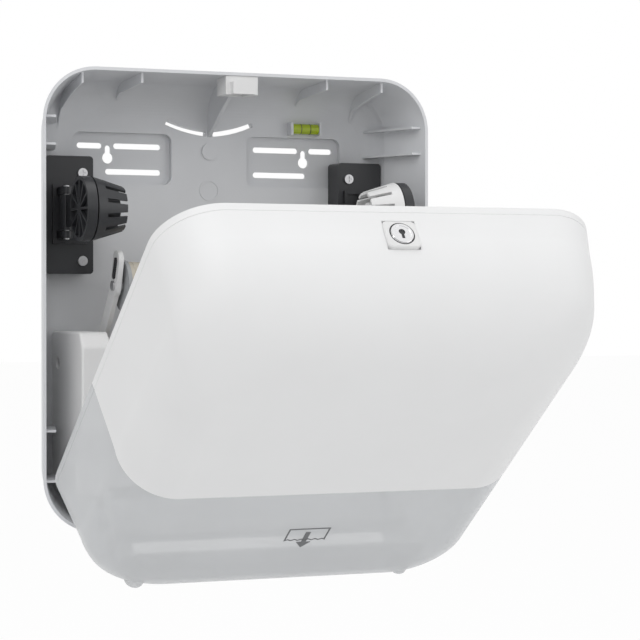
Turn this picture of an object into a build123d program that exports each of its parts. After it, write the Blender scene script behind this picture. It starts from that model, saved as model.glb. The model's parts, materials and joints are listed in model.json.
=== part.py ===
from build123d import *
import os
from math import atan2, cos, degrees, hypot, pi, radians, sin, sqrt

# Roll towel dispenser for a wall, in millimetres.
# The wall is the plane y = 0, the front looks towards -Y, and z = 0 is at mid height.
# The cover is stored swung open, hanging on its stop, as it stands when a roll is loaded.
os.makedirs("parts", exist_ok=True)

# Overall size
WIDTH = 337.0
HEIGHT = 372.0
HOUSING_DEPTH = 88.0
FRONT_DEPTH = 187.0
PARTING_GAP = 1.4

# Housing tray
WALL = 2.6
CORNER_R = 44.0
BACK_ROUND = 30.0
SIDE_FLARE = 24.0
TOP_FLARE = 5.0
FLOOR_T = 8.0
SKIN_T = 2.6
FIN_H = 8.0
FIN_T = 1.8
LEFT_FINS = (34.5, 84.5)
RIGHT_FINS = (90.5, 40.5)
TOP_FIN_X = tuple(x - WIDTH / 2 for x in LEFT_FINS) + tuple(WIDTH / 2 - x for x in RIGHT_FINS)
SIDE_FIN_Z = (146.0, 124.0, -105.0, -145.0)

# Fixing slots in the back wall
KEYHOLE_X = 88.7
KEYHOLE_Z = 119.0
KEYHOLE_R = 4.75
KEYHOLE_NECK = 5.0
KEYHOLE_RISE = 8.0
SLOT_W = 4.8
UPPER_SLOT_Z = 129.0
LONG_SLOT = (41.8, 83.8)
SHORT_SLOT = (93.7, 115.7)
LOWER_SLOT_Z = 107.4
LOWER_SLOT = (41.8, 90.9)
PANEL_X = (34.0, 121.0)
PANEL_Z = (97.0, 140.0)
PANEL_R = 7.0

# Spirit level
LEVEL_X = 86.0
LEVEL_Z = 147.5
LEVEL_R = 4.4
LEVEL_LEN = 24.0

# Cover
COVER_T = 2.5
SIDE_DRAFT = 8.0
SIDE_ROUND = 42.0
TOP_DRAFT = 3.5
TOP_ROUND = 75.0
BOTTOM_DRAFT = 11.0
BOTTOM_ROUND = 30.0
SPLIT_Z = -31.0
SPLIT_RIM_Z = -22.0
OPEN_ANGLE = 52.6
HINGE_Y = -115.5
HINGE_RISE = 10.9
HINGE_Z = HINGE_RISE - HEIGHT / 2
PIN_R = 2.5
RUN = 0.06
EAR_R = 7.0
EAR_T = 6.0
LUG_T = 3.0
EAR_SIDE = 1.0
EXIT_INSET = 60.5
EXIT_X = WIDTH / 2 - EXIT_INSET
EXIT_FRONT = 27.0
EXIT_D = 26.0
EXIT_Y = (EXIT_FRONT - FRONT_DEPTH, EXIT_FRONT + EXIT_D - FRONT_DEPTH)
EAR_OUT = 15.0
EAR_X = EXIT_X + EAR_OUT
FOOT_SHIFT = 4.5
FOOT_X = EXIT_X + FOOT_SHIFT
FOOT_BACK = 19.0
FOOT_Y = FOOT_BACK - FRONT_DEPTH
FOOT_R = 8.0
FOOT_OUT = 3.0
STEPS = 16

# Lock in the cover's top
LOCK_Y = -113.0
LOCK_R = 8.6
BEZEL_W = 25.0
BEZEL_D = 23.0
BEZEL_DROP = 1.4
BEZEL_TOP = HEIGHT / 2 - BEZEL_DROP
LOCK_LEN = 22.0

# Roll holders
ROLL_Y = -95.0
ROLL_Z = 72.0
ROLL_SIDE = 62.5
CORE_HALF = WIDTH / 2 - ROLL_SIDE
HUB_R = 26.0
HUB_TIP_R = 18.0
HUB_LEN = 26.0
ARM_T = 5.0
SPINDLE_R = 5.0
PIVOT_OUT = 4.0
ARM_PIVOT_X = CORE_HALF + HUB_LEN + PIVOT_OUT
ARM_PIVOT_Y = -42.0
ARM_PIN_R = 2.5
BRACKET_IN = 26.0
BRACKET_OUT = 14.0
BRACKET_X = (ARM_PIVOT_X - BRACKET_IN, ARM_PIVOT_X + BRACKET_OUT)
BRACKET_BELOW = 51.0
BRACKET_ABOVE = 46.0
BRACKET_Z = (ROLL_Z - BRACKET_BELOW, ROLL_Z + BRACKET_ABOVE)
BRACKET_FACE = 31.0
BRACKET_T = 3.0
BRACKET_SCREW_IN = 9.3
BRACKET_SCREW_X = BRACKET_X[0] + BRACKET_SCREW_IN
BRACKET_SCREW_Z = (ROLL_Z + 32.0, ROLL_Z - 40.3)
PIN_EYE = 6.0
PIN_EYE_Z = (ROLL_Z - 22.0, ROLL_Z + 14.0)

# Feed module
PLATE_SIDE = 54.5
PLATE_X = WIDTH / 2 - PLATE_SIDE
PLATE_T = 3.0
MODULE_RISE = 14.0
MODULE_H = 142.0
MODULE_Z = (MODULE_RISE - HEIGHT / 2, MODULE_RISE + MODULE_H - HEIGHT / 2)
MODULE_FRONT = -84.0
FRAME_SCREW_IN = 16.0
CASE_T = 2.2
CASE_SIDE = 28.5
CASE_OUT = WIDTH / 2 - CASE_SIDE
CASE_FRONT = -100.0
CASE_SCREW = (-30.0, MODULE_Z[1] - 22.0)
DRUM_Y = -58.0
DRUM_UP = 102.0
DRUM_Z = MODULE_Z[0] + DRUM_UP
DRUM_R = 24.0
SHAFT_R = 5.0
ROLLER_R = 12.0
NIP = 0.3
NIP_ANGLE = 135.0
GEAR_MODULE = 1.1
DRUM_TEETH = 44
ROLLER_TEETH = 22
GEAR_T = 8.0
GEAR_GAP = 2.0
GEAR_X = PLATE_X + PLATE_T + GEAR_GAP
ROLLER_SHAFT_R = 4.0
WHEEL_R = 20.0
WHEEL_T = 7.0
ROD_Y = -34.0
ROD_DOWN = 14.0
ROD_Z = MODULE_Z[1] - ROD_DOWN
ROD_R = 3.0
STUB_Y = -80.0
STUB_UP = 55.0
STUB_Z = ROD_Z + STUB_UP
STUB_R = 19.0
STUB_AXLE_R = 4.0
LEVER_IN = 10.0
LEVER_X = PLATE_X - LEVER_IN
STUB_IN = 6.0
STUB_HALF = LEVER_X - STUB_IN
LEVER_T = 4.0
SCREW_R = 4.0
SCREW_H = 2.2
CROSS_L = 2.4
CROSS_W = 0.5
SIT = 0.2

# Places that follow from the sizes above
PLATE_OUT = PLATE_X + PLATE_T
ROLLER_Y = DRUM_Y + (DRUM_R + ROLLER_R + NIP) * cos(radians(NIP_ANGLE))
ROLLER_Z = DRUM_Z + (DRUM_R + ROLLER_R + NIP) * sin(radians(NIP_ANGLE))
BUSH_R = SHAFT_R + 2.5
ROLLER_BUSH_R = ROLLER_SHAFT_R + 2.0


def save(shape, name):
    shape.label = name
    export_step(shape, f"parts/{name}.step")


def mirrored(shape):
    return mirror(shape, about=Plane.YZ)


def box(x, y, z):
    """A block from three (low, high) pairs."""
    size = [abs(b - a) for a, b in (x, y, z)]
    mid = [(a + b) / 2 for a, b in (x, y, z)]
    return Pos(*mid) * Box(*size)


def rod_x(r, x0, x1, y, z):
    return Pos((x0 + x1) / 2, y, z) * Rot(0, 90, 0) * Cylinder(r, abs(x1 - x0))


def rod_y(r, x, y0, y1, z):
    return Pos(x, (y0 + y1) / 2, z) * Rot(90, 0, 0) * Cylinder(r, abs(y1 - y0))


def rod_z(r, x, y, z0, z1):
    return Pos(x, y, (z0 + z1) / 2) * Cylinder(r, abs(z1 - z0))


def front_slab(face, y_back, y_front):
    """A front-view sketch as a slab between two depths."""
    return Pos(0, y_back, 0) * extrude(Plane.XZ * face, amount=y_back - y_front)


def side_plate(points, x0, x1):
    """A plate from its outline of (y, z) points."""
    face = make_face(Polyline(*[(0, y, z) for y, z in points], close=True))
    return Pos(x0, 0, 0) * extrude(face, amount=x1 - x0, dir=(1, 0, 0))


def link(p, q, r, x0, x1):
    """A plate with two round ends, one at each (y, z) point."""
    length = hypot(q[0] - p[0], q[1] - p[1])
    turn = degrees(atan2(q[1] - p[1], q[0] - p[0]))
    middle = Pos((p[0] + q[0]) / 2, (p[1] + q[1]) / 2)
    face = middle * Rot(0, 0, turn) * SlotOverall(length + 2 * r, 2 * r)
    return Pos(x0, 0, 0) * extrude(Plane.YZ * face, amount=x1 - x0)


# Housing
def tray_section(depth, inset, floor):
    """Half width, half height and corner radius of the tray at a depth from the wall."""
    r = BACK_ROUND - inset
    bend = floor + r
    flare = max(HOUSING_DEPTH - max(depth, bend), 0.0) / HOUSING_DEPTH
    round_in = r - sqrt(max(r * r - max(bend - depth, 0.0) ** 2, 0.0))
    half_x = WIDTH / 2 - inset - SIDE_FLARE * flare - round_in
    half_z = HEIGHT / 2 - inset - TOP_FLARE * flare - round_in
    return half_x, half_z, CORNER_R - inset


def tray(inset, floor, front):
    """The tray's form moved in by inset: flared walls that run into a big back round."""
    r = BACK_ROUND - inset
    depths = [floor + r * (1 - cos(pi / 2 * i / STEPS)) for i in range(STEPS + 1)]
    depths.append(HOUSING_DEPTH)
    if -front > HOUSING_DEPTH + 0.5:
        depths.append(-front)
    sections = []
    for depth in depths:
        half_x, half_z, corner = tray_section(depth, inset, floor)
        sections.append(Pos(0, -depth, 0) * (Plane.XZ * RectangleRounded(2 * half_x, 2 * half_z, corner)))
    return loft(sections, ruled=True)


def tray_space(clear=0.0):
    return tray(WALL + clear, FLOOR_T + clear, -FRONT_DEPTH)


def slot_cut(x_pair, z):
    x0, x1 = x_pair
    face = Pos((x0 + x1) / 2, z) * SlotOverall(x1 - x0, SLOT_W)
    return front_slab(face, 1.0, -FLOOR_T - 1.0)


def keyhole_cut():
    hole = rod_y(KEYHOLE_R, KEYHOLE_X, 1.0, -FLOOR_T - 1.0, KEYHOLE_Z)
    top = KEYHOLE_Z + KEYHOLE_RISE
    neck = box(
        (KEYHOLE_X - KEYHOLE_NECK / 2, KEYHOLE_X + KEYHOLE_NECK / 2), (-FLOOR_T - 1, 1), (KEYHOLE_Z, top)
    )
    return hole + neck + rod_y(KEYHOLE_NECK / 2, KEYHOLE_X, 1.0, -FLOOR_T - 1.0, top)


def arc_slot_cut():
    """The curved slot above each panel, on a circle about a point low on the middle line."""
    arc = ThreePointArc((39.0, 150.0), (21.0, 144.0), (3.0, 141.0))
    face = trace(arc, line_width=4.0)
    return front_slab(face, 1.0, -FLOOR_T - 1.0)


def fixing_panel():
    """The sunk panel that touches the wall, and its slots."""
    width = PANEL_X[1] - PANEL_X[0]
    height = PANEL_Z[1] - PANEL_Z[0]
    centre = ((PANEL_X[0] + PANEL_X[1]) / 2, (PANEL_Z[0] + PANEL_Z[1]) / 2)
    sink = front_slab(Pos(*centre) * RectangleRounded(width, height, PANEL_R), -SKIN_T, -FLOOR_T - 1)
    cut = sink + keyhole_cut() + slot_cut(LONG_SLOT, UPPER_SLOT_Z)
    return cut + slot_cut(SHORT_SLOT, UPPER_SLOT_Z) + slot_cut(LOWER_SLOT, LOWER_SLOT_Z) + arc_slot_cut()


def rear_pockets():
    """Hollows behind the thick floor, with upright ribs left between them."""
    pockets = []
    rib = 8.0
    half = WIDTH / 2 - SIDE_FLARE - BACK_ROUND - 2.0
    low = -HEIGHT / 2 + BACK_ROUND + 6.0
    high = PANEL_Z[0] - 6.0
    spans = ((-half, -half / 2 - rib), (-half / 2 + rib, -rib), (rib, half / 2 - rib), (half / 2 + rib, half))
    for x_pair in spans:
        pockets.append(box(x_pair, (-FLOOR_T + SKIN_T, 1.0), (low, high)))
    return pockets


def fins(solid):
    """Thin stiffening fins along the inside of the walls."""
    band = solid - tray(WALL + FIN_H, FLOOR_T, -HOUSING_DEPTH - 1)
    bars = []
    for x in TOP_FIN_X:
        bars.append(box((x - FIN_T / 2, x + FIN_T / 2), (-HOUSING_DEPTH + 6, -14), (HEIGHT / 2 - 46, HEIGHT / 2)))
    for z in SIDE_FIN_Z:
        for side in (-1, 1):
            x_pair = sorted((side * CASE_OUT, side * WIDTH / 2))
            bars.append(box(x_pair, (-HOUSING_DEPTH + 6, -14), (z - FIN_T / 2, z + FIN_T / 2)))
    return [bar & band for bar in bars]


def back_housing():
    solid = tray(0.0, 0.0, -HOUSING_DEPTH)
    body = solid - tray(WALL, FLOOR_T, -HOUSING_DEPTH - 1)
    for fin in fins(solid):
        body += fin
    top = HEIGHT / 2
    gusset = side_plate(
        [(-66, top), (-66, top - 14), (-44, top - 26), (-4, top - 50), (-4, top)], -1.5, 1.5
    )
    body += gusset & solid
    boss = rod_y(7.0, 0.0, -FLOOR_T + 1, -FLOOR_T - 1.5, 126.0)
    ring = rod_y(9.0, 0.0, -FLOOR_T + 1, -FLOOR_T - 0.6, 93.0) - rod_y(7.6, 0.0, 0, -FLOOR_T - 2, 93.0)
    body += boss
    body += ring
    for side in (-1, 1):
        x = LEVEL_X + side * (LEVEL_LEN / 2 + 1.2)
        body += box((x - 1.0, x + 1.0), (-FLOOR_T - 9.5, -FLOOR_T + 1), (LEVEL_Z - 5.5, LEVEL_Z + 5.5))
    cut = fixing_panel()
    body = body - cut - mirrored(cut)
    for pocket in rear_pockets():
        body = body - pocket
    return body


def level_vial():
    x0 = LEVEL_X - LEVEL_LEN / 2
    return rod_x(LEVEL_R, x0, LEVEL_X + LEVEL_LEN / 2, -FLOOR_T - LEVEL_R - SIT, LEVEL_Z)


def latch_keeper():
    top = HEIGHT / 2 - WALL - SIT
    block = box((-14, 14), (-HOUSING_DEPTH + 1, -66), (168, top))
    nose = box((-10, 10), (-HOUSING_DEPTH - 6, -HOUSING_DEPTH + 2), (168, 178))
    slot = box((-6, 6), (-HOUSING_DEPTH - 3, -72), (160, 175))
    return (block + nose - slot) & tray_space(SIT)


# Roll holders
def holder_bracket():
    face = -BRACKET_FACE
    outer = box(BRACKET_X, (face, -FLOOR_T), BRACKET_Z)
    inner = box(
        (BRACKET_X[0] + BRACKET_T, BRACKET_X[1] - BRACKET_T),
        (face + BRACKET_T, 0),
        (BRACKET_Z[0] + BRACKET_T, BRACKET_Z[1] - BRACKET_T),
    )
    body = fillet(outer.edges().filter_by(Axis.Y), 3.0) - inner
    for z in BRACKET_SCREW_Z:
        body += rod_y(6.0, BRACKET_SCREW_X, face + 1, -FLOOR_T, z)
    x0, x1 = ARM_PIVOT_X - 21.0, ARM_PIVOT_X + 9.0
    z0, z1 = ROLL_Z - 26.0, ROLL_Z + 22.0
    frame = box((x0, x1), (face - 2.5, face + 1), (z0, z1))
    frame -= box((x0 + BRACKET_T, x1 - BRACKET_T), (face - 3.0, face), (z0 + BRACKET_T, z1 - BRACKET_T))
    body += frame
    for z0 in PIN_EYE_Z:
        lug = box((ARM_PIVOT_X - 5, ARM_PIVOT_X + 5), (ARM_PIVOT_Y, face + 1), (z0, z0 + PIN_EYE))
        lug += rod_z(5.0, ARM_PIVOT_X, ARM_PIVOT_Y, z0, z0 + PIN_EYE)
        body += lug - rod_z(ARM_PIN_R, ARM_PIVOT_X, ARM_PIVOT_Y, z0 - 1, z0 + PIN_EYE + 1)
    return body & tray_space(SIT)


def holder_arm():
    """A swinging arm: a hub on the pivot pin, a curved plate and a spindle for the roll hub."""
    x_in = CORE_HALF + HUB_LEN + 1.0
    x_out = x_in + ARM_T
    z0, z1 = PIN_EYE_Z[0] + PIN_EYE + 0.6, PIN_EYE_Z[1] - 0.6
    hub = rod_z(5.5, ARM_PIVOT_X, ARM_PIVOT_Y, z0, z1)
    plate = link((ARM_PIVOT_Y - 2.0, ROLL_Z), (ROLL_Y, ROLL_Z), 13.0, x_in, x_out)
    plate += rod_x(HUB_R, x_in, x_out, ROLL_Y, ROLL_Z)
    plate -= box((x_in - 33, x_out + 22), (ARM_PIVOT_Y - 5.5, 0), (ROLL_Z - 32, ROLL_Z + 38))
    neck = box((x_in, x_out), (ARM_PIVOT_Y - 14, ARM_PIVOT_Y), (ROLL_Z - 13, ROLL_Z + 13))
    arm = plate + neck + hub
    rim = rod_x(HUB_R, x_out, x_out + 3.0, ROLL_Y, ROLL_Z)
    arm += rim - rod_x(HUB_R - 3, x_out - 1, x_out + 4, ROLL_Y, ROLL_Z)
    for i in range(6):
        spoke = box((x_out - 1, x_out + 3), (-HUB_R + 2, HUB_R - 2), (-1.0, 1.0))
        arm += Pos(0, ROLL_Y, ROLL_Z) * Rot(i * 30, 0, 0) * spoke
    arm += rod_x(SPINDLE_R, CORE_HALF + 4, x_in + 1, ROLL_Y, ROLL_Z)
    return arm - rod_z(ARM_PIN_R + RUN, ARM_PIVOT_X, ARM_PIVOT_Y, z0 - 1, z1 + 1)


def roll_hub():
    """The ribbed cone that enters the roll's core."""
    x0 = CORE_HALF
    cone = Pos(x0 + HUB_LEN / 2, ROLL_Y, ROLL_Z) * Rot(0, 90, 0) * Cone(HUB_TIP_R, HUB_R, HUB_LEN)
    hollow = Pos(x0 + HUB_LEN / 2 - 3, ROLL_Y, ROLL_Z) * Rot(0, 90, 0) * Cone(HUB_TIP_R - 3, HUB_R - 3, HUB_LEN)
    core = rod_x(SPINDLE_R + 4, x0 + 3, x0 + HUB_LEN, ROLL_Y, ROLL_Z)
    web = rod_x(HUB_R - 4, x0 + HUB_LEN - 6, x0 + HUB_LEN - 2, ROLL_Y, ROLL_Z)
    body = cone - hollow + core + web
    for i in range(6):
        jaw = box((x0 - 1, x0 + HUB_LEN - 8), (-HUB_R - 1, HUB_R + 1), (-1.6, 1.6))
        gap = Pos(0, ROLL_Y, ROLL_Z) * Rot(i * 30 + 15, 0, 0) * jaw
        body -= gap - rod_x(SPINDLE_R + 4.5, x0 - 2, x0 + HUB_LEN, ROLL_Y, ROLL_Z)
    return body - rod_x(SPINDLE_R + RUN, x0 - 1, x0 + HUB_LEN + 1, ROLL_Y, ROLL_Z)


def cross_screw_x(x0, x1, y, z):
    """A screw head whose recess opens at x0."""
    head = rod_x(SCREW_R, x0, x1, y, z)
    deep = x0 + (x1 - x0) * 0.5
    pair = sorted((x0 - (x1 - x0), deep))
    head -= box(pair, (y - CROSS_L, y + CROSS_L), (z - CROSS_W, z + CROSS_W))
    return head - box(pair, (y - CROSS_W, y + CROSS_W), (z - CROSS_L, z + CROSS_L))


def cross_screw_y(x, y_seat, z):
    head = rod_y(SCREW_R, x, y_seat, y_seat - SCREW_H, z)
    deep = (y_seat - SCREW_H - 1, y_seat - SCREW_H / 2)
    head -= box((x - CROSS_L, x + CROSS_L), deep, (z - CROSS_W, z + CROSS_W))
    return head - box((x - CROSS_W, x + CROSS_W), deep, (z - CROSS_L, z + CROSS_L))


# Feed module
def module_frame():
    lo, hi = MODULE_Z
    back = box((-PLATE_OUT, PLATE_OUT), (-FLOOR_T - 4, -FLOOR_T), (lo, hi - 10))
    deck = box((-PLATE_OUT, PLATE_OUT), (MODULE_FRONT, -FLOOR_T), (lo, lo + 3))
    beam = box((-PLATE_OUT, PLATE_OUT), (MODULE_FRONT, MODULE_FRONT + 4), (lo, lo + 18))
    body = back + deck + beam
    outline = [
        (-FLOOR_T, lo),
        (MODULE_FRONT, lo),
        (MODULE_FRONT, lo + 44),
        (CASE_FRONT + 2, lo + 64),
        (CASE_FRONT + 2, hi - 14),
        (-86, hi),
        (-FLOOR_T, hi),
    ]
    cheek = side_plate(outline, PLATE_X, PLATE_OUT)
    cheek -= rod_x(BUSH_R, PLATE_X - 1, PLATE_OUT + 1, DRUM_Y, DRUM_Z)
    cheek -= rod_x(ROLLER_BUSH_R, PLATE_X - 1, PLATE_OUT + 1, ROLLER_Y, ROLLER_Z)
    cheek -= rod_x(ROD_R + RUN, PLATE_X - 1, PLATE_OUT + 1, ROD_Y, ROD_Z)
    body = body + cheek + mirrored(cheek)
    return body & tray_space(SIT)


def side_case():
    """A hollow cap over the outside of a cheek, open towards it."""
    low = MODULE_Z[0] + 14.0
    top = MODULE_Z[1] + 4.0
    outline = [
        (-FLOOR_T - 2, low),
        (MODULE_FRONT + 2, low),
        (MODULE_FRONT, low + 30),
        (CASE_FRONT, low + 52),
        (CASE_FRONT, top - 12),
        (CASE_FRONT + 8, top),
        (-FLOOR_T - 2, top),
    ]
    outer = side_plate(outline, PLATE_OUT + SIT, CASE_OUT)
    upright = outer.edges().filter_by(Axis.X).sort_by(Axis.Z)
    outer = fillet(upright[-4:], 7.0)
    face = outer.faces().sort_by(Axis.X)[-1]
    outer = fillet(face.edges(), 2.0)
    inner = offset_outline(outline, CASE_T)
    case = outer - side_plate(inner, PLATE_OUT - 1, CASE_OUT - CASE_T)
    pad = rod_x(8.0, CASE_OUT - 6, CASE_OUT - 1, *CASE_SCREW)
    case = case + pad - rod_x(5.2, CASE_OUT - 3.5, CASE_OUT + 1, *CASE_SCREW)
    return case & tray_space(SIT)


def offset_outline(points, inset):
    """The outline moved in by inset, which suits one with all corners turning the same way."""
    cy = sum(p[0] for p in points) / len(points)
    cz = sum(p[1] for p in points) / len(points)
    moved = []
    for y, z in points:
        length = hypot(y - cy, z - cz)
        keep = (length - inset * 1.35) / length
        moved.append((cy + (y - cy) * keep, cz + (z - cz) * keep))
    return moved


def gear(teeth, y, z, tooth_angle, x0, bore):
    pitch_r = GEAR_MODULE * teeth / 2
    step = 2 * pi / teeth
    tip = pitch_r + 0.75 * GEAR_MODULE
    root = pitch_r - 1.15 * GEAR_MODULE
    points = []
    for i in range(teeth):
        mid = tooth_angle + i * step
        for share, r in ((-0.21, root), (-0.09, tip), (0.09, tip), (0.21, root)):
            a = mid + share * step
            points.append((y + r * cos(a), z + r * sin(a)))
    wheel = side_plate(points, x0, x0 + GEAR_T)
    return wheel - rod_x(bore, x0 - 1, x0 + GEAR_T + 1, y, z)


def cutting_drum():
    body = rod_x(DRUM_R, -PLATE_X + 2, PLATE_X - 2, DRUM_Y, DRUM_Z)
    body += rod_x(SHAFT_R, -PLATE_OUT - 6, CASE_OUT + 12, DRUM_Y, DRUM_Z)
    low = DRUM_Z - DRUM_R
    slot = box((-PLATE_X + 6, PLATE_X - 6), (DRUM_Y - 1.2, DRUM_Y + 1.2), (low - 1, low + 14))
    groove = rod_x(DRUM_R + 1, -2, 2, DRUM_Y, DRUM_Z) - rod_x(DRUM_R - 2, -3, 3, DRUM_Y, DRUM_Z)
    body -= slot
    for i in range(5):
        body -= Pos((i - 2) * 40.0, 0, 0) * groove
    return body


def knife_blade():
    """A toothed strip in the drum's slot."""
    length = 2 * (PLATE_X - 7)
    teeth = 40
    step = length / teeth
    base = DRUM_Z - DRUM_R + 13.5
    tip = DRUM_Z - DRUM_R + 1.0
    points = [(-length / 2, base)]
    for i in range(teeth):
        x = -length / 2 + i * step
        points += [(x, tip + 2.5), (x + step / 2, tip)]
    points += [(length / 2, tip + 2.5), (length / 2, base)]
    face = make_face(Polyline(*[(x, 0, z) for x, z in points], close=True))
    return Pos(0, DRUM_Y + 0.5, 0) * extrude(face, amount=1.0, dir=(0, -1, 0))


def feed_wheel():
    x0 = CASE_OUT + 3
    body = rod_x(WHEEL_R, x0, x0 + WHEEL_T, DRUM_Y, DRUM_Z)
    for i in range(24):
        a = 2 * pi * i / 24
        body -= rod_x(1.6, x0 - 1, x0 + WHEEL_T + 1, DRUM_Y + WHEEL_R * cos(a), DRUM_Z + WHEEL_R * sin(a))
    return body - rod_x(SHAFT_R, x0 - 1, x0 + WHEEL_T + 1, DRUM_Y, DRUM_Z)


def pressure_roller():
    body = rod_x(ROLLER_R, -PLATE_X + 4, PLATE_X - 4, ROLLER_Y, ROLLER_Z)
    for i in range(4):
        x = (i - 1.5) * 50.0
        ring = rod_x(ROLLER_R + 1, x - 5, x + 5, ROLLER_Y, ROLLER_Z)
        body -= ring - rod_x(ROLLER_R - 1.5, x - 6, x + 6, ROLLER_Y, ROLLER_Z)
    return body - rod_x(ROLLER_SHAFT_R, -PLATE_X, PLATE_X, ROLLER_Y, ROLLER_Z)


def shaft_bushes():
    rings = []
    for side in (-1, 1):
        x0, x1 = sorted((side * (PLATE_X - 0.8), side * PLATE_OUT))
        drum = rod_x(BUSH_R - 0.02, x0, x1, DRUM_Y, DRUM_Z)
        drum -= rod_x(SHAFT_R + RUN, x0 - 1, x1 + 1, DRUM_Y, DRUM_Z)
        roll = rod_x(ROLLER_BUSH_R - 0.02, x0, x1, ROLLER_Y, ROLLER_Z)
        roll -= rod_x(ROLLER_SHAFT_R + RUN, x0 - 1, x1 + 1, ROLLER_Y, ROLLER_Z)
        rings += [drum, roll]
    return Compound(children=rings)


def towel_chute():
    low = MODULE_Z[0] + 20.0
    high = MODULE_Z[0] + 72.0
    front = MODULE_FRONT + 5
    outline = [(-20, high), (-20, high - 2.5), (front, low), (front, low + 3)]
    return side_plate(outline, -PLATE_X + SIT, PLATE_X - SIT)


def tear_bar():
    """A toothed strip on the front beam."""
    z0 = MODULE_Z[0] + 10
    return box((-PLATE_X + 4, PLATE_X - 4), (MODULE_FRONT - 1.2, MODULE_FRONT), (z0, z0 + 10))


def lever(side):
    x0, x1 = sorted((side * LEVER_X, side * (LEVER_X + LEVER_T)))
    body = link((ROD_Y, ROD_Z), (STUB_Y, STUB_Z), 7.0, x0, x1)
    tip = link((STUB_Y, STUB_Z), (STUB_Y - 7, STUB_Z + 20), 8.5, x0, x1)
    body = body + tip
    body -= rod_x(STUB_AXLE_R, x0 - 1, x1 + 1, STUB_Y, STUB_Z)
    return body - rod_x(ROD_R, x0 - 1, x1 + 1, ROD_Y, ROD_Z)


def grip_strip():
    x0 = -LEVER_X - LEVER_T
    strip = link((STUB_Y - 3, STUB_Z + 8), (STUB_Y - 8, STUB_Z + 20), 2.6, x0 - 1.2, x0)
    return strip


# Hinge
def hinge_bracket():
    x0 = EAR_X - EAR_T / 2
    x1 = EAR_X + EAR_T / 2
    floor = -HEIGHT / 2 + WALL + SIT
    low = HINGE_Z - EAR_R
    ear = box((x0, x1), (HINGE_Y, -44), (low, HINGE_Z + EAR_R)) + rod_x(EAR_R, x0, x1, HINGE_Y, HINGE_Z)
    foot = box((x0 - 8, x1 + 2), (-HOUSING_DEPTH + 3, -44), (floor, low + 2))
    body = ear + foot
    body -= rod_x(PIN_R, x0 - 1, x1 + 1, HINGE_Y, HINGE_Z)
    return body & tray_space(SIT)


def hinge_pins():
    half = EAR_T / 2 + EAR_SIDE + LUG_T
    pin = rod_x(PIN_R, EAR_X - half, EAR_X + half, HINGE_Y, HINGE_Z)
    return Compound(children=[pin, mirrored(pin)])


# Cover, first as it lies when closed
def cover_section(depth, inset):
    """Half width, top, bottom and corner radius of the cover at a depth from the wall."""
    start = HOUSING_DEPTH + PARTING_GAP
    front = FRONT_DEPTH - inset

    def drawn_in(draft, round_r):
        straight = FRONT_DEPTH - round_r
        r = round_r - inset
        if depth <= straight:
            return inset + draft * (depth - start) / (straight - start)
        return inset + draft + r - sqrt(max(r * r - (depth - straight) ** 2, 0.0))

    depth = min(depth, front)
    side = WIDTH / 2 - drawn_in(SIDE_DRAFT, SIDE_ROUND)
    top = HEIGHT / 2 - drawn_in(TOP_DRAFT, TOP_ROUND)
    bottom = -HEIGHT / 2 + drawn_in(BOTTOM_DRAFT, BOTTOM_ROUND)
    return side, top, bottom, CORNER_R - inset


def cover_form(inset, start):
    """A ruled loft through rounded outlines that shrink towards the front as the edge rounds do."""
    front = FRONT_DEPTH - inset
    depths = [start]
    first = FRONT_DEPTH - TOP_ROUND
    for i in range(STEPS + 1):
        depths.append(first + (front - first) * sin(pi / 2 * i / STEPS))
    sections = []
    for depth in depths:
        side, top, bottom, corner = cover_section(depth, inset)
        outline = Pos(0, (top + bottom) / 2) * RectangleRounded(2 * side, top - bottom, corner)
        sections.append(Pos(0, -depth, 0) * (Plane.XZ * outline))
    return loft(sections, ruled=True)


def split_tool():
    """What lies below the edge between the white shell and the clear one, which rises towards the rim."""
    half = WIDTH / 2 + 10
    floor = -HEIGHT / 2 - 10
    rise = (SPLIT_RIM_Z - SPLIT_Z) / (FRONT_DEPTH - HOUSING_DEPTH)
    y0, y1 = -FRONT_DEPTH - 10, -HOUSING_DEPTH + 10
    outline = [(y0, SPLIT_Z - 10 * rise), (y1, SPLIT_RIM_Z + 10 * rise), (y1, floor), (y0, floor)]
    return side_plate(outline, -half, half)


def open_pose(shape):
    return shape.rotate(Axis((0, HINGE_Y, HINGE_Z), (1, 0, 0)), OPEN_ANGLE)


def cover_shells():
    start = HOUSING_DEPTH + PARTING_GAP
    skin = cover_form(0.0, start) - cover_form(COVER_T, start - 1.0)
    gap = EAR_SIDE
    slot = box(
        (EAR_X - EAR_T / 2 - gap, EAR_X + EAR_T / 2 + gap),
        (HINGE_Y - EAR_R - 1.5, -80),
        (-HEIGHT / 2 - 1, HINGE_Z + 3),
    )
    skin = skin - slot - mirrored(slot)
    skin -= box((-EXIT_X, EXIT_X), EXIT_Y, (-HEIGHT / 2 - 1, -HEIGHT / 2 + 22))
    skin -= lock_seat(0.1)
    tool = split_tool()
    return skin - tool, skin & tool


def lock_seat(clear):
    plate = Pos(0, LOCK_Y) * RectangleRounded(BEZEL_W + 2 * clear, BEZEL_D + 2 * clear, 4.0)
    low = HEIGHT / 2 - TOP_DRAFT - COVER_T - 3.0
    return Pos(0, 0, low) * extrude(plate, amount=BEZEL_TOP + 10 * clear - low)


def lock_bezel():
    body = lock_seat(0.0)
    top = body.faces().sort_by(Axis.Z)[-1]
    body = chamfer(top.edges(), 0.8)
    return body - rod_z(LOCK_R + RUN, 0, LOCK_Y, BEZEL_TOP - 35, BEZEL_TOP + 15)


def lock_cylinder():
    top = BEZEL_TOP + 0.6
    body = rod_z(LOCK_R, 0, LOCK_Y, top - LOCK_LEN, top)
    body = chamfer(body.edges().group_by(Axis.Z)[-1], 0.8)
    keyway = rod_z(2.4, 0, LOCK_Y + 1.2, top - 6, top + 1)
    keyway += box((-1.1, 1.1), (LOCK_Y - 4.5, LOCK_Y + 1), (top - 6, top + 1))
    return body - keyway


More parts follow.
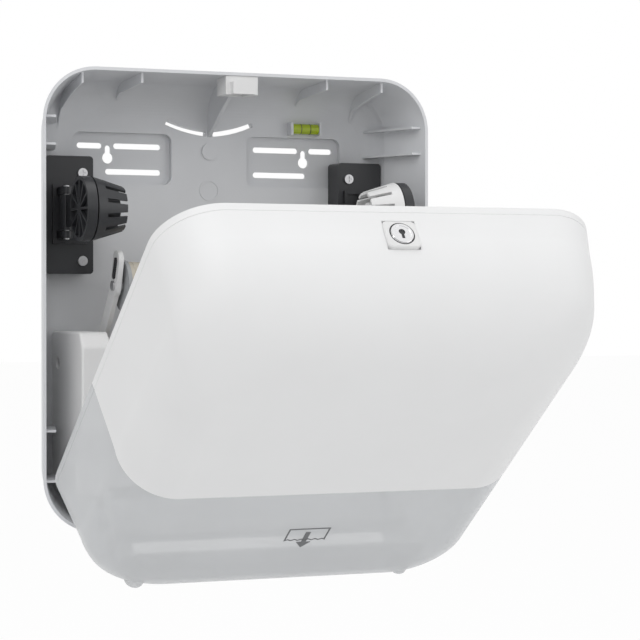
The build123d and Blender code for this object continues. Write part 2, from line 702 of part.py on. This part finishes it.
def lock_cam():
    z1 = BEZEL_TOP + 0.6 - LOCK_LEN
    face = Pos(0, LOCK_Y + 7) * Rot(0, 0, 90) * SlotOverall(28, 13)
    return Pos(0, 0, z1 - 2.5) * extrude(face, amount=2.5)


def cover_lugs():
    """Four knuckles that stand on the cover's bottom wall, two at each ear."""
    lugs = []
    for offset in (-1, 1):
        a = EAR_X + offset * (EAR_T / 2 + EAR_SIDE)
        b = a + offset * LUG_T
        x0, x1 = sorted((a, b))
        lug = rod_x(EAR_R, x0, x1, HINGE_Y, HINGE_Z)
        lug += box((x0, x1), (HINGE_Y - EAR_R, HINGE_Y + EAR_R), (-HEIGHT / 2, HINGE_Z))
        lug -= rod_x(PIN_R + RUN, x0 - 1, x1 + 1, HINGE_Y, HINGE_Z)
        lugs += [lug, mirrored(lug)]
    return lugs


def towel_tray():
    """The pale guide that stands round the towel's way out."""
    half = EXIT_X + 20
    y0, y1 = EXIT_Y
    floor = -HEIGHT / 2
    front = box((-half, half), (y0 - 6, y0 - 4), (floor, floor + 42))
    back = box((-half, half), (y1 + 4, y1 + 6), (floor, floor + 26))
    body = front + back
    for side in (-1, 1):
        x0, x1 = sorted((side * half, side * (half - 2)))
        body += box((x0, x1), (y0 - 6, y1 + 6), (floor, floor + 26))
    body += box((-38, 38), (y0 - 7.5, y0 - 5), (floor + 6, floor + 34))
    return body


def cover_feet(outer):
    low = cover_section(-FOOT_Y, 0.0)[2] - FOOT_OUT
    pad = rod_z(FOOT_R, FOOT_X, FOOT_Y, low, low + 12) - outer
    return Compound(children=[pad, mirrored(pad)])


def hub_screw():
    x0 = CORE_HALF + 2
    return cross_screw_x(x0, x0 + 2.0, ROLL_Y, ROLL_Z)


def build():
    save(back_housing(), "back_housing")
    save(latch_keeper(), "latch_keeper")
    save(level_vial(), "level_vial")
    right_bracket = holder_bracket()
    save(right_bracket, "right_bracket")
    save(mirrored(right_bracket), "left_bracket")
    screws = []
    for side in (-1, 1):
        for z in BRACKET_SCREW_Z:
            screws.append(cross_screw_y(side * BRACKET_SCREW_X, -BRACKET_FACE, z))
    save(Compound(children=screws), "bracket_screws")
    pin = rod_z(ARM_PIN_R, ARM_PIVOT_X, ARM_PIVOT_Y, PIN_EYE_Z[0] - 1, PIN_EYE_Z[1] + PIN_EYE + 1)
    save(Compound(children=[pin, mirrored(pin)]), "arm_pins")
    arm = holder_arm()
    save(arm, "right_arm")
    save(mirrored(arm), "left_arm")
    hub = roll_hub()
    save(hub, "right_hub")
    save(mirrored(hub), "left_hub")
    save(hub_screw(), "right_hub_screw")
    save(mirrored(hub_screw()), "left_hub_screw")

    save(module_frame(), "module_frame")
    case = side_case()
    bore = rod_x(SHAFT_R + 1.0, CASE_OUT - 5, CASE_OUT + 1, DRUM_Y, DRUM_Z)
    save(case - bore, "right_case")
    save(mirrored(case), "left_case")
    case_screw = cross_screw_x(CASE_OUT - 1.5, CASE_OUT - 3.5, *CASE_SCREW)
    save(Compound(children=[case_screw, mirrored(case_screw)]), "case_screws")
    frame_screws = []
    for x in (FRAME_SCREW_IN - PLATE_X, PLATE_X - FRAME_SCREW_IN):
        for z in (MODULE_Z[1] - 18.0, MODULE_Z[0] + 32.0):
            frame_screws.append(cross_screw_y(x, -FLOOR_T - 4, z))
    save(Compound(children=frame_screws), "frame_screws")
    save(cutting_drum(), "cutting_drum")
    save(knife_blade(), "knife_blade")
    mesh = radians(NIP_ANGLE)
    save(gear(DRUM_TEETH, DRUM_Y, DRUM_Z, mesh, GEAR_X, SHAFT_R), "drum_gear")
    half_pitch = pi / ROLLER_TEETH
    small_gear = gear(ROLLER_TEETH, ROLLER_Y, ROLLER_Z, mesh + pi + half_pitch, GEAR_X, ROLLER_SHAFT_R)
    save(small_gear, "roller_gear")
    save(feed_wheel(), "feed_wheel")
    save(pressure_roller(), "pressure_roller")
    roller_shaft = rod_x(ROLLER_SHAFT_R, -PLATE_OUT - 3, GEAR_X + GEAR_T + 2, ROLLER_Y, ROLLER_Z)
    save(roller_shaft, "roller_shaft")
    save(shaft_bushes(), "shaft_bushes")
    save(towel_chute(), "towel_chute")
    save(tear_bar(), "tear_bar")
    save(rod_x(ROD_R, -PLATE_OUT - 2, PLATE_OUT + 2, ROD_Y, ROD_Z), "lever_rod")
    save(lever(-1), "left_lever")
    save(lever(1), "right_lever")
    save(grip_strip(), "grip_strip")
    axle_half = LEVER_X + LEVER_T + 1.5
    save(rod_x(STUB_AXLE_R, -axle_half, axle_half, STUB_Y, STUB_Z), "stub_axle")
    stub = rod_x(STUB_R, -STUB_HALF, STUB_HALF, STUB_Y, STUB_Z)
    save(stub - rod_x(STUB_AXLE_R + RUN, -150, 150, STUB_Y, STUB_Z), "stub_roller")
    disc = rod_x(STUB_R + 1.5, STUB_HALF, STUB_HALF + 3, STUB_Y, STUB_Z)
    disc -= rod_x(STUB_AXLE_R + RUN, 0, 150, STUB_Y, STUB_Z)
    save(Compound(children=[disc, mirrored(disc)]), "stub_discs")

    ear = hinge_bracket()
    save(ear, "right_hinge_bracket")
    save(mirrored(ear), "left_hinge_bracket")
    save(hinge_pins(), "hinge_pins")

    shell, window = cover_shells()
    room = cover_form(COVER_T + SIT, HOUSING_DEPTH + PARTING_GAP)
    save(open_pose(shell), "cover_shell")
    save(open_pose(window), "cover_window")
    lugs = Compound(children=[lug & room for lug in cover_lugs()])
    save(open_pose(lugs), "cover_lugs")
    save(open_pose(towel_tray() & room), "towel_tray")
    save(open_pose(cover_feet(cover_form(0.0, HOUSING_DEPTH + PARTING_GAP))), "cover_feet")
    save(open_pose(lock_bezel()), "lock_bezel")
    save(open_pose(lock_cylinder()), "lock_cylinder")
    save(open_pose(lock_cam()), "lock_cam")


build()
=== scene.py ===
import json
from math import cos, pi, radians, sin, sqrt

import bmesh
import bpy
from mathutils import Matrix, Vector


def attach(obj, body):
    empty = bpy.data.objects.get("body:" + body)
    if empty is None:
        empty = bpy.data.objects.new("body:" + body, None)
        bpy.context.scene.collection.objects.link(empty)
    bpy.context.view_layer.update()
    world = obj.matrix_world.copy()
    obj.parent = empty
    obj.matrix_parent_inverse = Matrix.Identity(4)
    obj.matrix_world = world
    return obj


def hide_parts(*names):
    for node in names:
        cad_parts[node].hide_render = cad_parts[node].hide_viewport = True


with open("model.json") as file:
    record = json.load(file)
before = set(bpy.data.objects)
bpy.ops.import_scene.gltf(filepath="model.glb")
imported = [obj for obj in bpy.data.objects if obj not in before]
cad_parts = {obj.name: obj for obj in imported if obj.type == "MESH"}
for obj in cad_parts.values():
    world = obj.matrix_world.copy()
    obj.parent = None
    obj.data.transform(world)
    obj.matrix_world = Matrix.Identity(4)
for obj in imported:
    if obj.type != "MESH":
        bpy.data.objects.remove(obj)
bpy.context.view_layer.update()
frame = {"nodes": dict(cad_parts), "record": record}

MM = 0.001
SHARP_ANGLE = 30.0

# Camera, worked out from the photograph
CAMERA_PLACE = (-0.6384, -1.7783, -0.0005)
CAMERA_YAW = 22.71
CAMERA_PITCH = -0.52
FOCAL_PX = 2200.0
FRAME_PX = 640.0
SENSOR = 36.0

# Cover, in millimetres as it lies when closed, the same sizes as the solid's
WIDTH = 337.0
HEIGHT = 372.0
RIM_DEPTH = 89.4
FRONT_DEPTH = 187.0
CORNER_R = 44.0
COVER_T = 2.5
SIDE_DRAFT, SIDE_ROUND = 8.0, 42.0
TOP_DRAFT, TOP_ROUND = 3.5, 75.0
BOTTOM_DRAFT, BOTTOM_ROUND = 11.0, 30.0
SPLIT_Z = -31.0
SPLIT_RIM_Z = -22.0
HOUSING_DEPTH = 88.0
OPEN_ANGLE = 52.6
HINGE = (0.0, -115.5, -175.1)
EAR_X = 123.0
EAR_HALF = 4.0
EXIT_X = 108.0
EXIT_Y = (-160.0, -134.0)
BAND_DEPTH = 5.0
BAND_GROOVE = 0.35
BAND_WIDTH = 0.9
BAND_STEPS = (0.0, 0.25, 0.65, BAND_WIDTH)
CORNER_STEPS = 18
ROUND_STEPS = 30
MERGE_M = 1e-6

# Cuts in the cover
SLOT_TOP = -172.0
SLOT_Y = (-124.0, -80.0)
EXIT_HIGH = 22.0
BELOW = 2.0
SPLIT_BEYOND = 10.0

# Lock, about its axis in the cover's top
LOCK_Y = -113.0
LOCK_TOP = 185.2
LOCK_SIDES = 64
LOCK_BEVEL = 0.25
BEZEL = (25.2, 23.2)
SEAT_Z = (172.0, 192.0)
# Painted shade: a black ring at these radii stands for the shadow in the gap round the cylinder
LOCK_GAP_R = (8.62, 9.6)
LOCK_LIP_R = (6.4, 8.3)
# Painted shade in the keyway: a black disc and a slot stand for the shadow in its hole
KEYWAY_R = (0.05, 2.3)
KEYWAY_Z = (LOCK_TOP - 1.0, LOCK_TOP - 0.05)
KEY_SLOT = ((-1.0, -4.6), (1.0, -4.6), (1.0, -1.5), (-1.0, -1.5))

# Sign on the clear shell
SIGN_Z = -92.0
SIGN_HALF = 17.0
SIGN_LINE = 1.2
SIGN_TOP = 11.0
SIGN_FOOT = -4.0
SIGN_TEETH = 12
TOOTH_H = 1.6
EDGE_LINE = 1.1
SIGN_LIFT = 0.25
SINK = 0.05
SIGN_ARROW = ((-2, 7), (2, 7), (2, -7), (6, -7), (0, -15), (-6, -7), (-2, -7))

# Spirit level
LEVEL_AT = (86.0, -12.6, 147.5)
LEVEL_R = 4.4
LEVEL_LINES = (-4.5, 3.9)
LEVEL_LINE_R = (LEVEL_R + 0.02, LEVEL_R + 0.15)
LEVEL_LINE_W = 0.6

# Ribs round the stub roller
STUB_AXIS = (-80.0, 11.0)
RIB_COUNT = 24
RIB_START = -94.0
RIB_STEP = 8.0
RIB_R = (18.9, 19.35)
RIB_W = 4.0

# Finishes
TONE_SCALE = 14.0
GLOSS_SCALE = 60.0
GLOSS_SPREAD = 0.12
BUMP_M = 0.0005

# Light and floor
WORLD_LEVEL = 0.62
FLOOR_Z = -0.40
FLOOR_REACH = 12.0
FLOOR_TONE = 0.9
FLOOR_GLOW = 0.95
LAMPS = (
    ("key", (-1.2, -1.6, 1.6), (0, -0.2, 0), 1.6, 16.0),
    ("fill", (1.6, -1.4, 0.4), (0, -0.1, 0), 1.6, 5.0),
    ("top", (0.0, -0.5, 2.0), (0, -0.25, 0), 1.4, 7.0),
)


def node_graph(name):
    material = bpy.data.materials.new(name)
    material.use_nodes = True
    tree = material.node_tree
    return material, tree, tree.nodes["Principled BSDF"]


def noise(tree, scale, detail=3.0):
    place = tree.nodes.new("ShaderNodeTexCoord")
    texture = tree.nodes.new("ShaderNodeTexNoise")
    texture.inputs["Scale"].default_value = scale
    texture.inputs["Detail"].default_value = detail
    tree.links.new(place.outputs["Object"], texture.inputs["Vector"])
    return texture.outputs["Fac"]


def ramp(tree, value, dark, light):
    node = tree.nodes.new("ShaderNodeValToRGB")
    node.color_ramp.elements[0].position = 0.3
    node.color_ramp.elements[1].position = 0.7
    node.color_ramp.elements[0].color = (*dark, 1)
    node.color_ramp.elements[1].color = (*light, 1)
    tree.links.new(value, node.inputs["Fac"])
    return node.outputs["Color"]


def spread(tree, value, low, high):
    node = tree.nodes.new("ShaderNodeMapRange")
    node.inputs["To Min"].default_value = low
    node.inputs["To Max"].default_value = high
    tree.links.new(value, node.inputs["Value"])
    return node.outputs["Result"]


def finish_of(
    name, colour, rough, grain=2600.0, grain_depth=0.03, tone=0.03, metal=0.0, alpha=1.0, pass_light=0.0
):
    """A moulded or machined surface: slow tone changes, uneven gloss and a fine grain."""
    material, tree, shader = node_graph(name)
    dark = [c * (1 - tone) for c in colour]
    light = [min(c * (1 + tone), 1.0) for c in colour]
    tree.links.new(ramp(tree, noise(tree, TONE_SCALE), dark, light), shader.inputs["Base Color"])
    most = min(rough * (1 + GLOSS_SPREAD), 1.0)
    uneven = spread(tree, noise(tree, GLOSS_SCALE), rough * (1 - GLOSS_SPREAD), most)
    tree.links.new(uneven, shader.inputs["Roughness"])
    bump = tree.nodes.new("ShaderNodeBump")
    bump.inputs["Strength"].default_value = grain_depth
    bump.inputs["Distance"].default_value = BUMP_M
    tree.links.new(noise(tree, grain, 2.0), bump.inputs["Height"])
    tree.links.new(bump.outputs["Normal"], shader.inputs["Normal"])
    shader.inputs["Metallic"].default_value = metal
    shader.inputs["Alpha"].default_value = alpha
    shader.inputs["Transmission Weight"].default_value = pass_light
    return material


def make_finishes():
    return {
        "housing_plastic": finish_of("housing_plastic", (0.70, 0.71, 0.73), 0.38, 1800.0, 0.05),
        "white_plastic": finish_of("white_plastic", (0.78, 0.78, 0.78), 0.42, 2000.0, 0.05),
        "cover_white": finish_of("cover_white", (0.84, 0.843, 0.846), 0.46, 3000.0, 0.10, 0.01),
        "frosted_plastic": finish_of(
            "frosted_plastic", (0.72, 0.735, 0.75), 0.35, 2400.0, 0.06, 0.02, 0.0, 0.66
        ),
        "black_plastic": finish_of("black_plastic", (0.022, 0.023, 0.026), 0.36, 2200.0, 0.12, 0.2),
        "chrome": finish_of("chrome", (0.80, 0.80, 0.81), 0.14, 900.0, 0.02, 0.03, 1.0),
        "steel": finish_of("steel", (0.55, 0.55, 0.56), 0.30, 1500.0, 0.10, 0.08, 1.0),
        "rubber": finish_of("rubber", (0.56, 0.52, 0.44), 0.75, 1500.0, 0.25, 0.06),
        "grey_plastic": finish_of("grey_plastic", (0.36, 0.37, 0.38), 0.45, 2000.0, 0.08, 0.05),
        "vial": finish_of("vial", (0.62, 0.78, 0.05), 0.08, 400.0, 0.01, 0.05, 0.0, 1.0, 0.35),
    }


def dress_nodes(finishes):
    for part in frame["record"]["subparts"]:
        piece = frame["nodes"][part["node"]]
        piece.data.materials.clear()
        piece.data.materials.append(finishes[part["material_slot"]])


def opened(point):
    """A point in millimetres of the closed cover, as metres in the stored open pose."""
    turn = radians(OPEN_ANGLE)
    y, z = point[1] - HINGE[1], point[2] - HINGE[2]
    return Vector((
        point[0] * MM,
        (HINGE[1] + y * cos(turn) - z * sin(turn)) * MM,
        (HINGE[2] + y * sin(turn) + z * cos(turn)) * MM,
    ))


def closed_piece(name, points, faces):
    """An object from points and faces, with double points merged and its normals outwards."""
    mesh = bpy.data.meshes.new(name)
    mesh.from_pydata([tuple(p) for p in points], [], faces)
    form = bmesh.new()
    form.from_mesh(mesh)
    bmesh.ops.remove_doubles(form, verts=form.verts, dist=MERGE_M)
    bmesh.ops.recalc_face_normals(form, faces=form.faces)
    form.to_mesh(mesh)
    form.free()
    piece = bpy.data.objects.new(name, mesh)
    bpy.context.scene.collection.objects.link(piece)
    return piece


def mesh_piece(name, points, faces, material, smooth=35.0):
    """A closed piece with its material, shaded smooth up to an angle in degrees."""
    piece = closed_piece(name, points, faces)
    mesh = piece.data
    mesh.materials.append(material)
    mesh.shade_smooth()
    mesh.set_sharp_from_angle(angle=radians(smooth))
    return piece


def slab_faces(count):
    """The faces of a solid between two like outlines of count points each."""
    faces = [tuple(range(count)), tuple(range(2 * count - 1, count - 1, -1))]
    for i in range(count):
        j = (i + 1) % count
        faces.append((i, i + count, j + count, j))
    return faces


def drawn_in(depth, draft, round_r, inset):
    """How far the cover's wall has come in at a depth: a draft, then a round to the front."""
    straight = FRONT_DEPTH - round_r
    r = round_r - inset
    if depth <= straight:
        return inset + draft * (depth - RIM_DEPTH) / (straight - RIM_DEPTH)
    return inset + draft + r - sqrt(max(r * r - (depth - straight) ** 2, 0.0))


def cover_ring(depth, inset):
    """The cover's outline at one depth, as points round it in order."""
    depth = min(depth, FRONT_DEPTH - inset)
    half = WIDTH / 2 - drawn_in(depth, SIDE_DRAFT, SIDE_ROUND, inset)
    top = HEIGHT / 2 - drawn_in(depth, TOP_DRAFT, TOP_ROUND, inset)
    low = -HEIGHT / 2 + drawn_in(depth, BOTTOM_DRAFT, BOTTOM_ROUND, inset)
    r = CORNER_R - inset
    if BAND_DEPTH < depth - RIM_DEPTH < BAND_DEPTH + BAND_WIDTH and inset == 0:
        half, top, low = half - BAND_GROOVE, top - BAND_GROOVE, low + BAND_GROOVE
    corners = (
        (half - r, top - r, 0),
        (-half + r, top - r, 90),
        (-half + r, low + r, 180),
        (half - r, low + r, 270),
    )
    points = []
    for x, z, start in corners:
        for i in range(CORNER_STEPS + 1):
            a = radians(start + 90 * i / CORNER_STEPS)
            points.append((x + r * cos(a), -depth, z + r * sin(a)))
    return points


def cover_depths(inset):
    """Where the cover's outlines lie: the rim, the shallow groove beside it and the front round."""
    front = FRONT_DEPTH - inset
    first = FRONT_DEPTH - TOP_ROUND
    band = [RIM_DEPTH + BAND_DEPTH + d for d in BAND_STEPS]
    depths = [RIM_DEPTH] + (band if inset == 0 else [])
    depths += [first + (front - first) * sin(pi / 2 * i / ROUND_STEPS) for i in range(ROUND_STEPS + 1)]
    return depths


def whole_cover(material):
    """The cover as one closed skin: outer side, rim, inner side and both front faces."""
    points, faces, rings = [], [], []
    outer = [cover_ring(d, 0.0) for d in cover_depths(0.0)]
    inner = [cover_ring(d, COVER_T) for d in cover_depths(COVER_T)]
    for ring in list(reversed(outer)) + inner:
        rings.append(range(len(points), len(points) + len(ring)))
        points += [opened(p) for p in ring]
    count = len(rings[0])
    for a, b in zip(rings, rings[1:]):
        for i in range(count):
            j = (i + 1) % count
            faces.append((a[i], a[j], b[j], b[i]))
    faces.append(tuple(reversed(rings[0])))
    faces.append(tuple(rings[-1]))
    return mesh_piece("cover_form", points, faces, material)


def prism(name, outline, y0, y1):
    """A tool solid: an outline of (x, z) points between two depths, opened with the cover."""
    points = [opened((x, y, z)) for y in (y0, y1) for x, z in outline]
    return closed_piece(name, points, slab_faces(len(outline)))


def carve(piece, tool, operation):
    """Cut a piece with a tool solid and keep the result as its mesh."""
    change = piece.modifiers.new("cut", "BOOLEAN")
    change.operation = operation
    change.solver = "EXACT"
    change.object = tool
    bpy.context.view_layer.update()
    seen = piece.evaluated_get(bpy.context.evaluated_depsgraph_get())
    mesh = bpy.data.meshes.new_from_object(seen)
    piece.modifiers.clear()
    piece.data = mesh


def side_tool(name, outline, half):
    """A tool solid: an outline of (y, z) points of the closed cover, from side to side."""
    points = [opened((x, y, z)) for x in (-half, half) for y, z in outline]
    return mesh_piece(name, points, slab_faces(len(outline)), bpy.data.materials.new(name))


def split_tool():
    """What lies below the edge between the two shells, which rises towards the rim."""
    rise = (SPLIT_RIM_Z - SPLIT_Z) / (FRONT_DEPTH - HOUSING_DEPTH)
    y0, y1 = -FRONT_DEPTH - SPLIT_BEYOND, -HOUSING_DEPTH + SPLIT_BEYOND
    z0, z1 = SPLIT_Z - SPLIT_BEYOND * rise, SPLIT_RIM_Z + SPLIT_BEYOND * rise
    floor = -HEIGHT / 2 - SPLIT_BEYOND
    outline = [(y0, z0), (y1, z1), (y1, floor), (y0, floor)]
    return side_tool("low", outline, WIDTH / 2 + SPLIT_BEYOND)


def block_outline(x0, x1, z0, z1):
    return [(x0, z0), (x1, z0), (x1, z1), (x0, z1)]


def cover_tools():
    """The hinge slots, the towel's way out and the lock's seat, as tool solids."""
    tools = []
    low = -HEIGHT / 2 - BELOW
    for side in (-1, 1):
        x = side * EAR_X
        tools.append(prism("slot", block_outline(x - EAR_HALF, x + EAR_HALF, low, SLOT_TOP), *SLOT_Y))
    way_out = block_outline(-EXIT_X, EXIT_X, low, -HEIGHT / 2 + EXIT_HIGH)
    tools.append(prism("exit", way_out, *EXIT_Y))
    seat = block_outline(-BEZEL[0] / 2, BEZEL[0] / 2, *SEAT_Z)
    tools.append(prism("seat", seat, LOCK_Y - BEZEL[1] / 2, LOCK_Y + BEZEL[1] / 2))
    return tools


def make_cover(finishes):
    """The white shell and the clear one, cut from one skin along a slanted edge."""
    shell = whole_cover(finishes["cover_white"])
    tools = cover_tools()
    for tool in tools:
        carve(shell, tool, "DIFFERENCE")
    window = shell.copy()
    window.data = shell.data.copy()
    bpy.context.scene.collection.objects.link(window)
    low = split_tool()
    carve(shell, low, "DIFFERENCE")
    carve(window, low, "INTERSECT")
    for tool in tools + [low]:
        bpy.data.objects.remove(tool)
    for piece, name, node in ((shell, "white_shell", "cover_shell"), (window, "clear_shell", "cover_window")):
        piece.name = name
        piece.data.materials.clear()
        slot = "cover_white" if node == "cover_shell" else "frosted_plastic"
        piece.data.materials.append(finishes[slot])
        piece.data.shade_smooth()
        piece.data.set_sharp_from_angle(angle=radians(SHARP_ANGLE))
        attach(piece, "cover")
        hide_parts(node)


def flat_sign(name, outline, lift, material):
    """A thin raised shape on the cover's front, from (x, z) points of the closed cover."""
    points = [opened((x, y, z)) for y in (-FRONT_DEPTH + SINK, -FRONT_DEPTH - lift) for x, z in outline]
    piece = mesh_piece(name, points, slab_faces(len(outline)), material, SHARP_ANGLE)
    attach(piece, "cover")
    return piece


def make_sign(finishes):
    """A generic sign: a sheet's outline with a torn lower edge, and an arrow that points down through it."""
    ink = finishes["sign_ink"]
    inner = SIGN_HALF - SIGN_LINE
    bars = (
        (-SIGN_HALF, SIGN_HALF, SIGN_TOP, SIGN_TOP + SIGN_LINE),
        (-SIGN_HALF, -inner, SIGN_FOOT, SIGN_TOP),
        (inner, SIGN_HALF, SIGN_FOOT, SIGN_TOP),
    )
    for i, (x0, x1, low, high) in enumerate(bars):
        flat_sign(f"sign_bar_{i}", block_outline(x0, x1, SIGN_Z + low, SIGN_Z + high), SIGN_LIFT, ink)
    teeth = []
    for i in range(SIGN_TEETH + 1):
        x = -SIGN_HALF + 2 * SIGN_HALF * i / SIGN_TEETH
        teeth.append((x, SIGN_Z + SIGN_FOOT + (TOOTH_H if i % 2 else 0)))
    lower = [(x, z - EDGE_LINE) for x, z in reversed(teeth)]
    flat_sign("sign_edge", teeth + lower, SIGN_LIFT, ink)
    flat_sign("sign_arrow", [(x, SIGN_Z + z) for x, z in SIGN_ARROW], SIGN_LIFT, ink)


def ring_piece(name, x, y, z, r_in, r_out, length, material, body, slot, sides=48):
    """A ring about an axis along X."""
    points, faces = [], []
    for i in range(sides):
        a = 2 * pi * i / sides
        for px, r in ((x, r_in), (x + length, r_in), (x + length, r_out), (x, r_out)):
            points.append(Vector((px, y + r * cos(a), z + r * sin(a))) * MM)
    for i in range(sides):
        j = (i + 1) % sides
        for k in range(4):
            m = (k + 1) % 4
            faces.append((4 * i + k, 4 * i + m, 4 * j + m, 4 * j + k))
    piece = mesh_piece(name, points, faces, material, SHARP_ANGLE)
    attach(piece, body)
    return piece


def make_level(finishes):
    """The two lines round the level's vial."""
    x, y, z = LEVEL_AT
    slot = "black_plastic"
    for i, dx in enumerate(LEVEL_LINES):
        ring_piece(f"level_line_{i}", x + dx, y, z, *LEVEL_LINE_R, LEVEL_LINE_W, finishes[slot], "base", slot)


def make_rubber_bands(finishes):
    """Fine ribs that run round the stub roller."""
    for i in range(RIB_COUNT):
        x = RIB_START + i * RIB_STEP
        ring_piece(f"stub_rib_{i}", x, *STUB_AXIS, *RIB_R, RIB_W, finishes["rubber"], "stub", "rubber")


def lock_ring(name, r_in, r_out, z0, z1, shape, slot, body):
    """A ring about the lock's axis, or a disc where its inner radius is small, between two heights."""
    points, faces = [], []
    outline = (
        (r_in, z0),
        (r_out, z0),
        (r_out, z1 - LOCK_BEVEL),
        (r_out - LOCK_BEVEL, z1),
        (r_in, z1),
    )
    count = len(outline)
    for i in range(LOCK_SIDES):
        a = 2 * pi * i / LOCK_SIDES
        for r, z in outline:
            points.append(opened((r * cos(a), LOCK_Y + r * sin(a), z)))
    for i in range(LOCK_SIDES):
        j = (i + 1) % LOCK_SIDES
        for k in range(count):
            m = (k + 1) % count
            faces.append((count * i + k, count * i + m, count * j + m, count * j + k))
    piece = mesh_piece(name, points, faces, shape, SHARP_ANGLE)
    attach(piece, body)


def make_lock(finishes):
    """Painted shade round the cylinder, a black ring down in the gap; its raised lip; and painted shade in
    the keyway, a black disc and slot.
    """
    # the black finish is used here as painted shade in the lock's gap and keyway
    shade_paint = finishes["black_plastic"]
    gap_z = (LOCK_TOP - 1.2, LOCK_TOP - 0.5)
    lip_z = (LOCK_TOP - 0.3, LOCK_TOP + 0.35)
    # painted shade: a black ring for the shadow down in the gap round the cylinder
    lock_ring("lock_gap_painted_shade", *LOCK_GAP_R, *gap_z, shade_paint, "black_plastic", "cover")
    lock_ring("lock_lip", *LOCK_LIP_R, *lip_z, finishes["chrome"], "chrome", "lock")
    # painted shade: a black disc and a slot for the shadow in the keyway's hole
    lock_ring("keyway_painted_shade", *KEYWAY_R, *KEYWAY_Z, shade_paint, "black_plastic", "lock")
    points = [opened((x, LOCK_Y + y, z)) for z in KEYWAY_Z for x, y in KEY_SLOT]
    slot = mesh_piece("keyway_slot_painted_shade", points, slab_faces(len(KEY_SLOT)), shade_paint, SHARP_ANGLE)
    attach(slot, "lock")


def area_light(name, place, target, size, power):
    light = bpy.data.lights.new(name, "AREA")
    light.size = size
    light.energy = power
    lamp = bpy.data.objects.new(name, light)
    lamp.location = place
    lamp.rotation_euler = (Vector(target) - Vector(place)).to_track_quat("-Z", "Y").to_euler()
    bpy.context.scene.collection.objects.link(lamp)


def make_world():
    world = bpy.data.worlds.new("studio")
    bpy.context.scene.world = world
    world.use_nodes = True
    tree = world.node_tree
    soft = tree.nodes["Background"]
    soft.inputs["Color"].default_value = (1.0, 1.0, 1.0, 1)
    soft.inputs["Strength"].default_value = WORLD_LEVEL
    white = tree.nodes.new("ShaderNodeBackground")
    white.inputs["Color"].default_value = (1.0, 1.0, 1.0, 1)
    mix = tree.nodes.new("ShaderNodeMixShader")
    tree.links.new(seen_rays(tree), mix.inputs["Fac"])
    tree.links.new(soft.outputs["Background"], mix.inputs[1])
    tree.links.new(white.outputs["Background"], mix.inputs[2])
    tree.links.new(mix.outputs["Shader"], tree.nodes["World Output"].inputs["Surface"])


def seen_rays(tree):
    """One for rays that show the background: from the camera, a gloss or through clear matter."""
    path = tree.nodes.new("ShaderNodeLightPath")
    total = path.outputs["Is Camera Ray"]
    for name in ("Is Glossy Ray", "Is Transmission Ray"):
        add = tree.nodes.new("ShaderNodeMath")
        add.operation = "MAXIMUM"
        tree.links.new(total, add.inputs[0])
        tree.links.new(path.outputs[name], add.inputs[1])
        total = add.outputs["Value"]
    return total


def make_floor():
    """A pale floor that keeps the object's shadow and shows the white ground round it."""
    material, tree, shader = node_graph("floor")
    shader.inputs["Base Color"].default_value = (FLOOR_TONE, FLOOR_TONE, FLOOR_TONE, 1)
    shader.inputs["Roughness"].default_value = 0.9
    glow = tree.nodes.new("ShaderNodeEmission")
    share = tree.nodes.new("ShaderNodeMath")
    share.operation = "MULTIPLY"
    share.inputs[1].default_value = FLOOR_GLOW
    tree.links.new(seen_rays(tree), share.inputs[0])
    mix = tree.nodes.new("ShaderNodeMixShader")
    tree.links.new(share.outputs["Value"], mix.inputs["Fac"])
    tree.links.new(shader.outputs["BSDF"], mix.inputs[1])
    tree.links.new(glow.outputs["Emission"], mix.inputs[2])
    tree.links.new(mix.outputs["Shader"], tree.nodes["Material Output"].inputs["Surface"])
    mesh = bpy.data.meshes.new("floor")
    signs = ((-1, -1), (1, -1), (1, 1), (-1, 1))
    corners = [(FLOOR_REACH * x, FLOOR_REACH * y, FLOOR_Z) for x, y in signs]
    mesh.from_pydata(corners, [], [(0, 1, 2, 3)])
    mesh.materials.append(material)
    floor = bpy.data.objects.new("floor", mesh)
    bpy.context.scene.collection.objects.link(floor)


def make_camera():
    data = bpy.data.cameras.new("camera")
    data.sensor_width = SENSOR
    data.lens = FOCAL_PX / FRAME_PX * SENSOR
    camera = bpy.data.objects.new("camera", data)
    camera.location = CAMERA_PLACE
    camera.rotation_euler = (radians(90 + CAMERA_PITCH), 0.0, radians(-CAMERA_YAW))
    bpy.context.scene.collection.objects.link(camera)
    bpy.context.scene.camera = camera


def main():
    bpy.context.scene.view_settings.view_transform = "Standard"
    finishes = make_finishes()
    finishes["sign_ink"] = finish_of("sign_ink", (0.16, 0.165, 0.17), 0.6)
    dress_nodes(finishes)
    make_camera()
    make_world()
    make_floor()
    for lamp in LAMPS:
        area_light(*lamp)
    make_cover(finishes)
    make_sign(finishes)
    make_level(finishes)
    make_lock(finishes)
    make_rubber_bands(finishes)


main()
